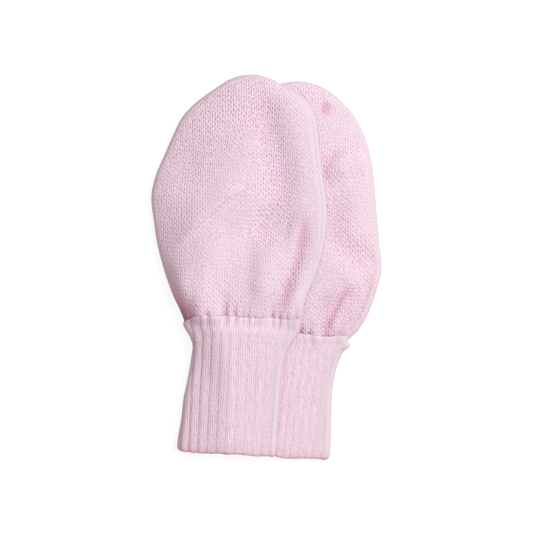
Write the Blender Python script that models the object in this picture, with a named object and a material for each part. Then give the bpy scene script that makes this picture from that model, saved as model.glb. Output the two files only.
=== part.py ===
"""A pair of baby mittens in fine knit, laid flat, the left one over the right.

Each mitten is a gathered bag of two jersey panels, a back and a palm, sewn to a cuff of doubled rib.
The pair lies on the plane z = 0 with its fingertips towards +Y. The origin is the middle of the pair
on that plane. A mitten's own frame starts at the middle of its cuff seam: across runs along the
seam, along runs towards the fingertips, and a lean turns both to their place on the floor.

All sizes are in millimetres, and MM turns them into Blender's metres.
"""

import math
from collections import namedtuple

import bpy
import numpy as np

MM = 0.001

# Cloth
PANEL = 1.6  # jersey wall of a back panel, measured upright
PALM = 1.5  # jersey wall of a palm panel
GAP = 0.3  # between pieces at a seam
FACET_ROOM = 0.15  # more room, for flat facets over curved cloth
CUFF_WALL = 2.1  # doubled rib
CUFF_HEIGHT = 4.8  # a cuff lying flat, to the tops of its ribs
CUFF_EDGE = 2.4  # radius of a cuff's side fold
CUFF_MIDDLE = 2.2  # height of a cuff's outermost line
CUFF_FOOT = 1.2  # how far the flat underside stays inside the outline
RIB_RELIEF = 0.45
SEAM_LIP = 0.3  # raised edge of the rib at the seam
SEAM_SCALLOP = 0.3  # how far the edge draws back between ribs
MOUTH_ROUND = 0.35  # share by which the walls close in at the folded mouth

# Hollow between back and palm
RISE_AT_SEAM = 5.0  # from the outline to full height, beside the gathers
RISE_AT_TIP = 25.5  # and further up
RISE_GROWS_FROM = 10.0  # along a hand, where one length turns into the other
RISE_GROWS_TO = 40.0
RISE_POWER = 2.4  # 1 is an even slope, and more is steeper at the outline and leveller at the end
SEAM_RISE = 14.0  # from the cuff seam to full height
SEAM_SHARE = 0.6  # share of the height that is left at the seam
LEAST_HOLLOW = 0.4  # softens the place where back and palm meet
MOST_HOLLOW = 3.68  # an inner face stays under this, and the wall over it takes up the rest
MOST_SOFT = 0.3  # softens the place where it does
FOLD_FADE = 0.3  # share of a fold's length over which it fades out at each end
FOLD_POINTS = 13  # along a fold's curve

# The way the upper mitten climbs onto the lower one
CLIMB_START = 19.0  # outside the lower mitten's outline
CLIMB_END = 2.0
REST_ON_HAND = PALM + GAP + LEAST_HOLLOW / 2 + PANEL + GAP + FACET_ROOM
REST_ON_CUFF = CUFF_HEIGHT + SEAM_LIP + GAP
CUFF_STEP = 4.0  # length over which the rest rises from hand to cuff
PRESSED_FROM = -1.0  # inside the upper mitten's outline, where it starts to press the lower one
PRESSED_TO = 11.5
CUFF_DRAPE = 32.0  # from a cuff's left edge, over which its top rises onto the other mitten
DRAPE_BLEND = 0.5  # softens the place where the top meets what lies under it
BLEND_REACH = 3.0  # that softness starts over this length

# Grids
EDGE_STEPS = (0.0, 0.4, 1.3)  # columns close to the side edges
TIP_STEPS = (0.5, 0.16, 0.0)  # last rows, in sections back from the tip
INSET_REACH = 5.0  # the inner surface keeps its plan further in than this
HAND_COLUMNS = 52
HAND_ROWS = 46
CUFF_RINGS = 14
FACETS_PER_RIB = 4
FOOT_POINTS = 9

# Hand sections from the cuff seam to the tip: the outline's distance to the left and right of the
# centre line, and how far the middle of the section bows towards the tip.
Section = namedtuple("Section", "along left right bow")

UPPER_HAND = (
    Section(0.0, -21.3, 21.4, 0.0),
    Section(4.0, -23.2, 21.9, 0.0),
    Section(10.0, -26.3, 22.9, 0.0),
    Section(18.0, -29.5, 25.8, 0.0),
    Section(27.0, -32.3, 28.1, 0.0),
    Section(36.0, -34.1, 29.2, 0.0),
    Section(45.0, -35.4, 28.9, 0.1),
    Section(53.0, -34.0, 27.4, 0.2),
    Section(61.0, -31.0, 26.1, 0.3),
    Section(68.0, -28.3, 25.0, 0.5),
    Section(74.0, -25.6, 24.1, 0.8),
    Section(79.0, -21.6, 22.4, 1.2),
    Section(83.0, -17.0, 19.3, 1.7),
    Section(86.0, -12.9, 14.5, 2.1),
    Section(88.5, -9.4, 8.9, 2.5),
)

LOWER_HAND = (
    Section(0.0, -21.9, 21.6, 0.0),
    Section(4.0, -23.5, 25.2, 0.0),
    Section(10.0, -25.9, 28.3, 0.0),
    Section(18.0, -28.9, 30.7, 0.0),
    Section(27.0, -31.2, 32.2, 0.0),
    Section(36.0, -32.7, 30.8, 0.0),
    Section(45.0, -33.2, 29.5, 0.1),
    Section(53.0, -32.8, 28.4, 0.2),
    Section(61.0, -31.8, 27.2, 0.3),
    Section(68.0, -30.2, 25.6, 0.5),
    Section(74.0, -28.0, 23.5, 0.8),
    Section(79.0, -25.4, 20.9, 1.1),
    Section(83.0, -22.6, 18.2, 1.5),
    Section(86.5, -19.0, 14.6, 1.9),
    Section(89.0, -15.6, 11.5, 2.3),
    Section(91.0, -11.9, 8.5, 2.6),
)

# Cuff sections from the folded mouth up to the seam. The last three flare to the seam's raw edge.
CuffSection = namedtuple("CuffSection", "along left right")

UPPER_CUFF = (
    CuffSection(-47.7, -20.8, 14.0),
    CuffSection(-46.3, -21.9, 14.5),
    CuffSection(-42.5, -21.8, 14.6),
    CuffSection(-36.0, -20.9, 14.8),
    CuffSection(-28.0, -20.4, 15.1),
    CuffSection(-21.0, -19.3, 15.3),
    CuffSection(-15.0, -18.4, 15.8),
    CuffSection(-9.0, -17.9, 17.1),
    CuffSection(-5.8, -19.0, 18.9),
    CuffSection(-3.4, -20.6, 20.3),
    CuffSection(-1.5, -21.7, 21.2),
    CuffSection(0.0, -21.6, 21.5),
)

LOWER_CUFF = (
    CuffSection(-44.2, -16.6, 15.9),
    CuffSection(-42.8, -17.6, 17.2),
    CuffSection(-39.5, -17.8, 17.4),
    CuffSection(-33.5, -17.6, 17.2),
    CuffSection(-27.0, -17.4, 17.0),
    CuffSection(-20.0, -17.6, 16.8),
    CuffSection(-12.5, -18.4, 17.5),
    CuffSection(-7.0, -19.5, 18.9),
    CuffSection(-4.0, -20.7, 20.2),
    CuffSection(-2.2, -21.5, 22.3),
    CuffSection(0.0, -22.0, 21.4),
)

# Troughs in a back panel, each along a curve through three points. A trough is down to about a
# third of its depth at its left width on one side and at its right width on the other, as seen along
# a fold that runs down from the tip. A depth below zero is a raised puff.
Fold = namedtuple(
    "Fold", "from_across from_along by_across by_along to_across to_along left right depth"
)

UPPER_FOLDS = (
    Fold(-4.1, 91.5, 10.4, 62.4, 11.6, 35.0, 7.3, 5.4, 1.7),
    Fold(20.0, 44.4, 18.0, 22.0, 10.2, 2.5, 1.8, 2.6, 0.9),
    Fold(1.9, 33.1, 2.1, 16.6, 2.7, 3.5, 2.6, 2.6, 0.4),
    Fold(-27.0, 25.7, -6.0, 47.2, -1.0, 44.3, 1.7, 5.7, -1.6),
    Fold(1.6, 41.6, 8.9, 35.6, 18.9, 32.5, 8.7, 7.7, 2.0),
    Fold(-4.8, 35.9, -16.1, 8.5, 2.8, -4.5, 6.5, 5.8, -1.6),
    Fold(17.4, 39.1, 6.7, 15.9, 11.1, 6.8, 5.2, 4.1, -1.2),
    Fold(10.3, 89.4, 17.2, 60.6, 21.6, 24.7, 7.6, 5.4, -1.3),
    Fold(-5.1, 89.6, -16.3, 61.8, -27.2, 41.2, 7.0, 9.2, 1.2),
)

LOWER_FOLDS = (
    Fold(9.6, 87.0, 8.1, 84.7, 7.3, 81.0, 2.0, 1.9, 0.4),
    Fold(16.7, 70.4, 9.2, 61.4, 14.2, 55.5, 2.6, 1.7, 0.6),
    Fold(17.8, 58.0, 15.0, 37.2, 34.5, 28.8, 5.0, 5.4, 1.2),
    Fold(6.6, 15.8, 13.9, 13.0, 24.7, 20.9, 4.9, 4.2, 0.9),
    Fold(29.2, 27.5, 20.9, 7.7, 13.3, 0.8, 3.2, 5.8, 1.3),
    Fold(22.0, 21.5, 17.0, 13.4, 12.3, 0.5, 1.0, 1.4, 0.5),
    Fold(11.6, 59.1, 16.5, 62.8, 28.8, 67.1, 3.9, 2.7, -1.1),
)

# Gathers at the cuff seam: where each pleat dips, how far it reaches up, its width and depth.
Gather = namedtuple("Gather", "across reach width depth")

UPPER_GATHERS = (
    Gather(-19.4, 13.0, 2.6, 2.0),
    Gather(-15.6, 3.0, 1.0, 0.7),
    Gather(-12.9, 6.4, 1.0, 1.1),
    Gather(-9.2, 3.0, 1.0, 0.3),
    Gather(-6.4, 13.0, 1.2, 1.3),
    Gather(-2.9, 9.0, 0.9, 1.0),
    Gather(0.1, 7.9, 0.9, 0.5),
    Gather(2.0, 8.3, 0.8, 0.6),
    Gather(4.6, 5.4, 0.9, 0.6),
    Gather(7.1, 3.4, 0.9, 0.5),
    Gather(10.8, 9.4, 0.8, 0.8),
    Gather(13.4, 6.5, 0.8, 0.9),
    Gather(16.2, 5.7, 0.9, 0.8),
    Gather(20.1, 10.0, 1.6, 1.0),
)

LOWER_GATHERS = (
    Gather(3.4, 6.0, 1.7, 1.5),
    Gather(7.0, 5.0, 1.1, 0.9),
    Gather(13.0, 13.0, 1.8, 1.0),
    Gather(15.9, 6.3, 1.2, 0.7),
    Gather(18.2, 5.7, 1.3, 1.0),
)

# Loft is the height of the hollow in a hand, and mouth_lift how much the cuff's mouth is drawn up
# on its left side.
Mitten = namedtuple(
    "Mitten", "name seam_x seam_y lean loft hand cuff folds gathers ribs mouth_lift"
)

UPPER = Mitten(
    name="upper",
    seam_x=-8.9,
    seam_y=-20.5,
    lean=2.5,
    loft=2.4,
    hand=UPPER_HAND,
    cuff=UPPER_CUFF,
    folds=UPPER_FOLDS,
    gathers=UPPER_GATHERS,
    ribs=10.5,
    mouth_lift=0.0,
)

LOWER = Mitten(
    name="lower",
    seam_x=8.5,
    seam_y=-25.4,
    lean=3.4,
    loft=2.6,
    hand=LOWER_HAND,
    cuff=LOWER_CUFF,
    folds=LOWER_FOLDS,
    gathers=LOWER_GATHERS,
    ribs=12.5,
    mouth_lift=1.5,
)

JERSEY_PINK = (0.80, 0.60, 0.68, 1.0)
RIB_PINK = (0.82, 0.62, 0.70, 1.0)
KNIT_ROUGHNESS = 0.92


# ---------------------------------------------------------------- curves and distances


def smooth_step(value):
    """0 below 0, 1 above 1, and an even S between them."""
    t = np.clip(value, 0.0, 1.0)
    return t * t * (3.0 - 2.0 * t)


def rounded(value):
    """Height of a quarter circle over its own radius: 0 at 0, 1 from 1 on."""
    t = np.clip(value, 0.0, 1.0)
    return np.sqrt(1.0 - (1.0 - t) ** 2)


def spline_rows(table, places):
    """Catmull-Rom curve through the rows of a table, read at places counted in rows."""
    rows = np.array(table)
    ends = 2 * rows[0] - rows[1], 2 * rows[-1] - rows[-2]
    padded = np.vstack([ends[0], rows, ends[1]])
    first = np.clip(np.floor(places).astype(int), 0, len(rows) - 2)
    t = (places - first)[:, None]
    a, b, c, d = (padded[first + k] for k in range(4))
    return b + 0.5 * t * (c - a + t * (2 * a - 5 * b + 4 * c - d + t * (3 * (b - c) + d - a)))


def nearest_on(points, chain):
    """For each point: its distance to an open chain, the nearest point there and how far along."""
    start, step = chain[:-1], np.diff(chain, axis=0)
    offset = points[:, None, :] - start
    t = np.clip((offset * step).sum(-1) / (step * step).sum(-1), 0.0, 1.0)
    away = np.linalg.norm(offset - t[..., None] * step, axis=-1)
    best = away.argmin(axis=1)
    pick = np.arange(len(points))
    t = t[pick, best]
    lengths = np.linalg.norm(step, axis=1)
    before = np.concatenate([[0.0], np.cumsum(lengths)])
    along = (before[best] + t * lengths[best]) / before[-1]
    return away[pick, best], start[best] + t[:, None] * step[best], along


def depth_inside(points, outline):
    """Signed distance to a closed outline, above zero inside."""
    loop = np.vstack([outline, outline[:1]])
    away = nearest_on(points, loop)[0]
    x, y = points[:, :1], points[:, 1:]
    x0, y0 = outline.T
    x1, y1 = loop[1:].T
    rise = np.where(y1 == y0, 1.0, y1 - y0)
    crossings = ((y0 > y) != (y1 > y)) & (x < x0 + (y - y0) * (x1 - x0) / rise)
    return np.where(crossings.sum(axis=1) % 2 == 1, away, -away)


# ---------------------------------------------------------------- plan of a mitten


def on_floor(mitten, plan):
    """Points of a mitten's own frame, moved to their place on the floor."""
    turn = math.radians(mitten.lean)
    across, along = plan[..., 0], plan[..., 1]
    x = mitten.seam_x + across * math.cos(turn) + along * math.sin(turn)
    y = mitten.seam_y - across * math.sin(turn) + along * math.cos(turn)
    return np.stack([x, y], axis=-1)


def along_of(mitten, floor):
    """How far points of the floor lie beyond a mitten's seam line."""
    turn = math.radians(mitten.lean)
    x, y = floor[..., 0] - mitten.seam_x, floor[..., 1] - mitten.seam_y
    return x * math.sin(turn) + y * math.cos(turn)


def hand_plan(mitten):
    """The hand's grid of across and along: rows from seam to tip, columns from left to right."""
    last = len(mitten.hand) - 1
    even = np.linspace(0.0, last - 1.0, HAND_ROWS + 1 - len(TIP_STEPS))
    places = np.concatenate([even, last - np.array(TIP_STEPS)])
    along, left, right, bow = spline_rows(mitten.hand, places).T
    steps = np.array(EDGE_STEPS)
    middle_count = HAND_COLUMNS + 1 - 2 * (len(steps) - 1)
    middle = np.linspace(left + steps[-1], right - steps[-1], middle_count, axis=1)
    near_left = left[:, None] + steps[:-1]
    near_right = right[:, None] - steps[-2::-1]
    across = np.hstack([near_left, middle, near_right])
    share = (across - left[:, None]) / (right - left)[:, None]
    rise = bow[:, None] * (1.0 - (2.0 * share - 1.0) ** 2)
    return np.stack([across, along[:, None] + rise + GAP / 2], axis=-1)


def hand_chain(plan):
    """The hand's open outline: up its left side, over the tip and down its right side."""
    return np.vstack([plan[:, 0], plan[-1, 1:-1], plan[::-1, -1]])


def left_side_chain(plan):
    """The part of that outline that lies free: the left side and the tip."""
    return np.vstack([plan[:, 0], plan[-1, 1:]])


def mitten_outline(mitten):
    """The whole mitten's closed outline on the floor."""
    along, left, right = np.array(mitten.cuff)[:-1].T
    left_side = np.stack([left, along], axis=1)
    right_side = np.stack([right, along], axis=1)[::-1]
    chain = hand_chain(hand_plan(mitten))
    return on_floor(mitten, np.vstack([left_side, chain, right_side]))


# ---------------------------------------------------------------- heights


def rise_length(along):
    """Length over which a hand's sides rise: short by the gathers, long further up."""
    grown = smooth_step((along - RISE_GROWS_FROM) / (RISE_GROWS_TO - RISE_GROWS_FROM))
    return RISE_AT_SEAM + (RISE_AT_TIP - RISE_AT_SEAM) * grown


def eased(value):
    """0 to 1, steep at first and level at the end."""
    return 1.0 - (1.0 - np.clip(value, 0.0, 1.0)) ** RISE_POWER


def seam_share(along):
    """Share of a hand's height that its cuff seam leaves."""
    return SEAM_SHARE + (1.0 - SEAM_SHARE) * smooth_step(along / SEAM_RISE)


def uncovered(mitten, floor):
    """1 where nothing lies on a mitten, down to 0 where the upper one presses on it."""
    if mitten is UPPER:
        return np.ones(len(floor))
    inside = depth_inside(floor, mitten_outline(UPPER))
    return 1.0 - smooth_step((inside - PRESSED_FROM) / (PRESSED_TO - PRESSED_FROM))


def rest_parts(mitten, floor):
    """What a mitten lies on: its height over the floor, and its height where it is fully climbed.

    The upper one climbs the lower one in an S, and follows its hollow or its thicker cuff.
    """
    if mitten is LOWER:
        return np.zeros(len(floor)), np.zeros(len(floor))
    inside, along = depth_inside(floor, mitten_outline(LOWER)), along_of(LOWER, floor)
    on_cuff = smooth_step((CUFF_STEP + GAP - along) / CUFF_STEP)
    hollow = LOWER.loft * eased((inside - PANEL) / rise_length(along)) * seam_share(along)
    hollow = hollow * uncovered(LOWER, floor) * (1.0 - on_cuff)
    full = REST_ON_HAND + (REST_ON_CUFF - REST_ON_HAND) * on_cuff
    climb = smooth_step((inside + CLIMB_START) / (CLIMB_START - CLIMB_END))
    return climb * (full + hollow), full


def drape_height(mitten, rest, from_left, length):
    """How far the top of the upper mitten stays above the step in what it lies on."""
    if mitten is LOWER:
        return 0.0 * from_left
    lift = eased(from_left / length) * rest[1] - rest[0]
    blend = DRAPE_BLEND * smooth_step(from_left / BLEND_REACH)
    return 0.5 * (lift + np.sqrt(lift**2 + blend**2))


def fold_depth(fold, plan):
    """A trough along the curve through three points: a bell across it, which has one width on each
    side, fading out at both ends.
    """
    t = np.linspace(0.0, 1.0, FOLD_POINTS)[:, None]
    start = np.array([fold.from_across, fold.from_along])
    by = np.array([fold.by_across, fold.by_along])
    end = np.array([fold.to_across, fold.to_along])
    curve = start * (1 - t) * (1 - 2 * t) + by * 4 * t * (1 - t) + end * t * (2 * t - 1)
    away, nearest, along = nearest_on(plan, curve)
    offset, run = plan - nearest, end - start
    side = run[0] * offset[:, 1] - run[1] * offset[:, 0]
    width = np.where(side > 0.0, fold.right, fold.left)
    fade = smooth_step(along / FOLD_FADE) * smooth_step((1.0 - along) / FOLD_FADE)
    return fold.depth * fade * np.exp(-((away / width) ** 2))


def gather_depth(gather, plan):
    """A pleat that is deepest at the seam and runs out at its reach."""
    fade = smooth_step(1.0 - plan[:, 1] / gather.reach)
    return gather.depth * fade * np.exp(-(((plan[:, 0] - gather.across) / gather.width) ** 2))


def hollow_height(mitten, plan, rest, edge, from_left):
    """Height of the hollow between palm and back: domed, draped, folded and gathered."""
    length = rise_length(plan[:, 1])
    dome = eased((edge - PANEL) / length) * seam_share(plan[:, 1])
    troughs = sum(fold_depth(fold, plan) for fold in mitten.folds)
    pleats = sum(gather_depth(gather, plan) for gather in mitten.gathers)
    edge_fade = smooth_step((edge - PANEL) / PANEL)
    height = mitten.loft * dome - (troughs + pleats) * edge_fade
    height = height * uncovered(mitten, on_floor(mitten, plan))
    height = height + drape_height(mitten, rest, from_left, length)
    return 0.5 * (height + np.sqrt(height**2 + LEAST_HOLLOW**2 * edge_fade))


def held_down(hollow):
    """A hollow's height, softly kept under the most that the inner face has."""
    over = MOST_HOLLOW - hollow
    return 0.5 * (hollow + MOST_HOLLOW - np.sqrt(over**2 + MOST_SOFT**2))


# ---------------------------------------------------------------- meshes


def grid_faces(rows, columns, first, closed, turned):
    """Quads of a grid of points, closed to a tube or not, turned over or not."""
    faces = []
    for row in range(rows - 1):
        for column in range(columns if closed else columns - 1):
            after = (column + 1) % columns
            a, b = first + row * columns + column, first + row * columns + after
            quad = (a, b, b + columns, a + columns)
            faces.append(quad[::-1] if turned else quad)
    return faces


def rim_loop(rows, columns, first):
    """Indices round the edge of a grid, counterclockwise from above."""
    grid = np.arange(rows * columns).reshape(rows, columns) + first
    return [*grid[0, :-1], *grid[:-1, -1], *grid[-1, :0:-1], *grid[:0:-1, 0]]


def bridge(outer, inner, turned=False):
    """Faces between two loops, where the inner one has as many points or half as many."""
    faces = []
    ratio = len(outer) // len(inner)
    for k, start in enumerate(inner):
        end = inner[(k + 1) % len(inner)]
        a, b = outer[ratio * k], outer[(ratio * k + 1) % len(outer)]
        if ratio == 1:
            faces.append((b, a, start, end))
            continue
        c = outer[(ratio * k + 2) % len(outer)]
        faces += [(b, a, start), (b, start, end), (c, b, end)]
    return [face[::-1] for face in faces] if turned else faces


def sheet_faces(outer, inner, ledge=None):
    """Faces of a wall between two grids, through an extra loop of points at its edge if given."""
    rows, columns = outer.shape[:2]
    inner_first = rows * columns
    faces = grid_faces(rows, columns, 0, False, False)
    faces += grid_faces(*inner.shape[:2], inner_first, False, True)
    outer_rim = rim_loop(rows, columns, 0)
    inner_rim = rim_loop(*inner.shape[:2], inner_first)
    if ledge is None:
        return faces + bridge(outer_rim, inner_rim)
    ledge_first = inner_first + inner.shape[0] * inner.shape[1]
    ledge_rim = list(range(ledge_first, ledge_first + len(ledge)))
    return faces + bridge(outer_rim, ledge_rim) + bridge(ledge_rim, inner_rim)


def tube_faces(outer, inner):
    """Faces of a tube's wall between its outer and inner rings, closed at both ends."""
    rings, points = outer.shape[:2]
    inner_first = rings * points
    inner_rings, inner_points = inner.shape[:2]
    faces = grid_faces(rings, points, 0, True, False)
    faces += grid_faces(inner_rings, inner_points, inner_first, True, True)
    inner_last = inner_first + (inner_rings - 1) * inner_points
    faces += bridge(range(points), range(inner_first, inner_first + inner_points))
    outer_end = range(inner_first - points, inner_first)
    return faces + bridge(outer_end, range(inner_last, inner_last + inner_points), turned=True)


def knit_material(name, colour):
    material = bpy.data.materials.new(name)
    material.use_nodes = True
    shader = material.node_tree.nodes["Principled BSDF"]
    shader.inputs["Base Color"].default_value = colour
    shader.inputs["Roughness"].default_value = KNIT_ROUGHNESS
    shader.inputs["Metallic"].default_value = 0.0
    return material


def add_piece(name, point_sets, faces, colour, collection, parent):
    """One object of the given points and faces, under its mitten's empty."""
    points = np.vstack([points.reshape(-1, 3) for points in point_sets]) * MM
    mesh = bpy.data.meshes.new(name)
    mesh.from_pydata(points.tolist(), [], [tuple(map(int, face)) for face in faces])
    mesh.shade_smooth()
    mesh.materials.append(knit_material(name, colour))
    piece = bpy.data.objects.new(name, mesh)
    piece.parent = parent
    collection.objects.link(piece)


# ---------------------------------------------------------------- pieces


def with_height(plan, height):
    """Plan points with their heights, as points in space."""
    return np.concatenate([plan, height.reshape(*plan.shape[:-1], 1)], axis=-1)


def drawn_in(plan, chain, amount):
    """Plan points moved in from the outline by an amount that runs out at the inset's reach."""
    flat = plan.reshape(-1, 2)
    away, nearest, _ = nearest_on(flat, chain)
    inward = flat - nearest
    step = np.gradient(chain, axis=0)
    normals = np.stack([step[:, 1], -step[:, 0]], axis=1)
    on_edge = away < 1e-6
    closest = np.linalg.norm(flat[:, None] - chain, axis=-1).argmin(axis=1)
    inward[on_edge] = normals[closest[on_edge]]
    inward /= np.linalg.norm(inward, axis=1, keepdims=True)
    move = amount * np.clip(1.0 - away / INSET_REACH, 0.0, 1.0)
    return (flat + inward * move[:, None]).reshape(plan.shape)


def hand_back(mitten, collection, parent):
    """The back panel: domed jersey, rolled over at its outline, over a plainer inner face."""
    plan = hand_plan(mitten)
    chain, left_chain = hand_chain(plan), left_side_chain(plan)

    def face_at(place, wall):
        flat = place.reshape(-1, 2)
        edge, from_left = nearest_on(flat, chain)[0], nearest_on(flat, left_chain)[0]
        rest = rest_parts(mitten, on_floor(mitten, flat))
        hollow = hollow_height(mitten, flat, rest, edge, from_left)
        over_hollow = hollow + PANEL * rounded(edge / PANEL) if wall else held_down(hollow)
        return with_height(place, rest[0] + PALM + GAP + over_hollow)

    outer = face_at(plan, True)
    inner = face_at(drawn_in(plan[::2, ::2], chain, PANEL), False)
    faces = sheet_faces(outer, inner)
    add_piece(f"{mitten.name}_hand_back", [outer, inner], faces, JERSEY_PINK, collection, parent)


def hand_palm(mitten, collection, parent):
    """The palm panel: a flat sheet with a rounded edge, on whatever the mitten lies on."""
    fine = hand_plan(mitten)
    chain = hand_chain(fine)
    plan = fine[::2, ::2]
    under_plan = drawn_in(plan, chain, PALM / 2)
    rest = rest_parts(mitten, on_floor(mitten, plan.reshape(-1, 2)))[0]
    under_rest = rest_parts(mitten, on_floor(mitten, under_plan.reshape(-1, 2)))[0]
    top = with_height(plan, rest + PALM)
    under = with_height(under_plan, under_rest)
    rim = np.array(rim_loop(*plan.shape[:2], 0))
    ledge = top.reshape(-1, 3)[rim] - [0.0, 0.0, PALM / 2]
    faces = sheet_faces(top, under, ledge)
    add_piece(f"{mitten.name}_hand_palm", [top, under, ledge], faces, JERSEY_PINK, collection, parent)


def cuff_ring(left, right, ribs):
    """One section of a cuff: across and height round it, and how deep in a valley each point is."""
    facets = int(FACETS_PER_RIB * ribs)
    across = np.linspace(left, right, facets + 1)
    edge = np.minimum(across - left, right - across)
    height = CUFF_MIDDLE + (CUFF_HEIGHT - CUFF_MIDDLE) * rounded(edge / CUFF_EDGE)
    valley = (np.arange(facets + 1) % FACETS_PER_RIB == 0) * rounded(edge / CUFF_EDGE)
    foot = np.linspace(right - CUFF_FOOT, left + CUFF_FOOT, FOOT_POINTS)
    side = CUFF_FOOT / 4
    across = np.concatenate([across, [right - side], foot, [left + side]])
    side_height = [CUFF_MIDDLE / 3]
    height = np.concatenate([height, side_height, np.zeros(FOOT_POINTS), side_height])
    return across, height, np.concatenate([valley, np.zeros(FOOT_POINTS + 2)])


def cuff(mitten, collection, parent):
    """The cuff: a flattened tube of doubled rib, folded at the mouth and flared at the seam."""
    places = np.linspace(0.0, len(mitten.cuff) - 1.0, CUFF_RINGS + 1)
    outer, inner, outer_lifts, inner_lifts = [], [], [], []
    for along, left, right in spline_rows(mitten.cuff, places):
        across, height, valley = cuff_ring(left, right, mitten.ribs)
        middle, half = (left + right) / 2, (right - left) / 2
        at_seam = math.exp(-((along / 1.5) ** 2))
        share = (across - left) / (right - left)
        drawn_up = mitten.mouth_lift * (1 - smooth_step(2 * share)) * along / mitten.cuff[0].along
        row = along - GAP / 2 + drawn_up - SEAM_SCALLOP * valley * at_seam
        inner_across = middle + (across - middle) * (half - CUFF_WALL) / half
        inner_height = CUFF_WALL + (CUFF_HEIGHT - 2 * CUFF_WALL) * height / CUFF_HEIGHT
        upper_side = smooth_step((height - CUFF_MIDDLE) / (CUFF_HEIGHT - CUFF_MIDDLE))
        height = height - RIB_RELIEF * valley + SEAM_LIP * at_seam * upper_side
        outer.append(np.stack([across, row, height], axis=1))
        inner_row = along - GAP / 2 + drawn_up
        inner.append(np.stack([inner_across, inner_row, inner_height], axis=1))
        outer_lifts.append(np.stack([across - left, upper_side], axis=1))
        inner_lifts.append(np.stack([inner_across - left, upper_side], axis=1))
    outer, inner = np.array(outer), np.array(inner)
    outer_lifts, inner_lifts = np.array(outer_lifts), np.array(inner_lifts)[::2, ::2]
    mouth_outer, mouth_inner = outer[0].copy(), inner[0].copy()
    outer[0] += MOUTH_ROUND * (mouth_inner - mouth_outer)
    inner[0] += MOUTH_ROUND * (mouth_outer - mouth_inner)
    inner = inner[::2, ::2]
    for rings, lifts in ((outer, outer_lifts), (inner, inner_lifts)):
        rest = rest_parts(mitten, on_floor(mitten, rings[..., :2].reshape(-1, 2)))
        from_left, share = lifts.reshape(-1, 2).T
        drape = share * drape_height(mitten, rest, from_left, CUFF_DRAPE)
        rings[..., 2] += (rest[0] + drape).reshape(rings.shape[:2])
    faces = tube_faces(outer, inner)
    add_piece(f"{mitten.name}_cuff", [outer, inner], faces, RIB_PINK, collection, parent)


def build():
    for old in list(bpy.data.objects):
        bpy.data.objects.remove(old, do_unlink=True)
    collection = bpy.data.collections.new("baby_mittens")
    bpy.context.scene.collection.children.link(collection)
    for mitten in (UPPER, LOWER):
        place = bpy.data.objects.new(f"{mitten.name}_mitten", None)
        place.location = (mitten.seam_x * MM, mitten.seam_y * MM, 0.0)
        place.rotation_euler = (0.0, 0.0, -math.radians(mitten.lean))
        collection.objects.link(place)
        hand_back(mitten, collection, place)
        hand_palm(mitten, collection, place)
        cuff(mitten, collection, place)


build()
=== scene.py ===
"""A pair of baby mittens in fine pink knit, laid flat, the left one partly over the right.

Sizes are in millimetres, and MM turns them into metres. A mitten's own frame starts at the middle
of its cuff seam: across runs along the seam, along towards the fingertips, and a lean turns both.
"""

import math
from collections import namedtuple

import bpy
import numpy as np
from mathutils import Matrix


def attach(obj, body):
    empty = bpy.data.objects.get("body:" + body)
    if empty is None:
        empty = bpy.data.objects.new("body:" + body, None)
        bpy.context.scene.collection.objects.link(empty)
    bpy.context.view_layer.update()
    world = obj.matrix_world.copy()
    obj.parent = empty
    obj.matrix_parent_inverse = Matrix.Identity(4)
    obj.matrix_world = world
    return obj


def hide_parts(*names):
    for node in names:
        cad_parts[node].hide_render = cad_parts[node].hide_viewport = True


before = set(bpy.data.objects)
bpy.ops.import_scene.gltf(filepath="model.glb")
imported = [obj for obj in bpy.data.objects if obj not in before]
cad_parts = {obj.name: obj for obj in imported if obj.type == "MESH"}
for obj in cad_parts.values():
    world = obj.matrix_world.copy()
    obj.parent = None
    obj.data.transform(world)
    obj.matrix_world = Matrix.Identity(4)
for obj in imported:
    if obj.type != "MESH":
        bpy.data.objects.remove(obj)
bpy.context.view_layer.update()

MM = 0.001

# ------------ backs of the hands
# A back is one panel of fine jersey. It is knitted in brushed cotton yarn, drawn in to the tip and
# gathered onto the rib cuff, so it is puffed, and it is creased where the mitten has been folded.

Section = namedtuple("Section", "along left right bow", defaults=(0.0,))
Fold = namedtuple(
    "Fold", "from_across from_along by_across by_along to_across to_along left right depth shade"
)
Gather = namedtuple("Gather", "across reach width depth")
Mitten = namedtuple(
    "Mitten",
    "name seam_x seam_y lean loft hand cuff folds gathers pleat_shade"
    " rib_width rib_place rib_lean mouth_lift lip nap",
)


def rows_of(kind, *rows):
    """Rows of a table, with their columns named by their kind."""
    return tuple(kind(*row) for row in rows)


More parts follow.
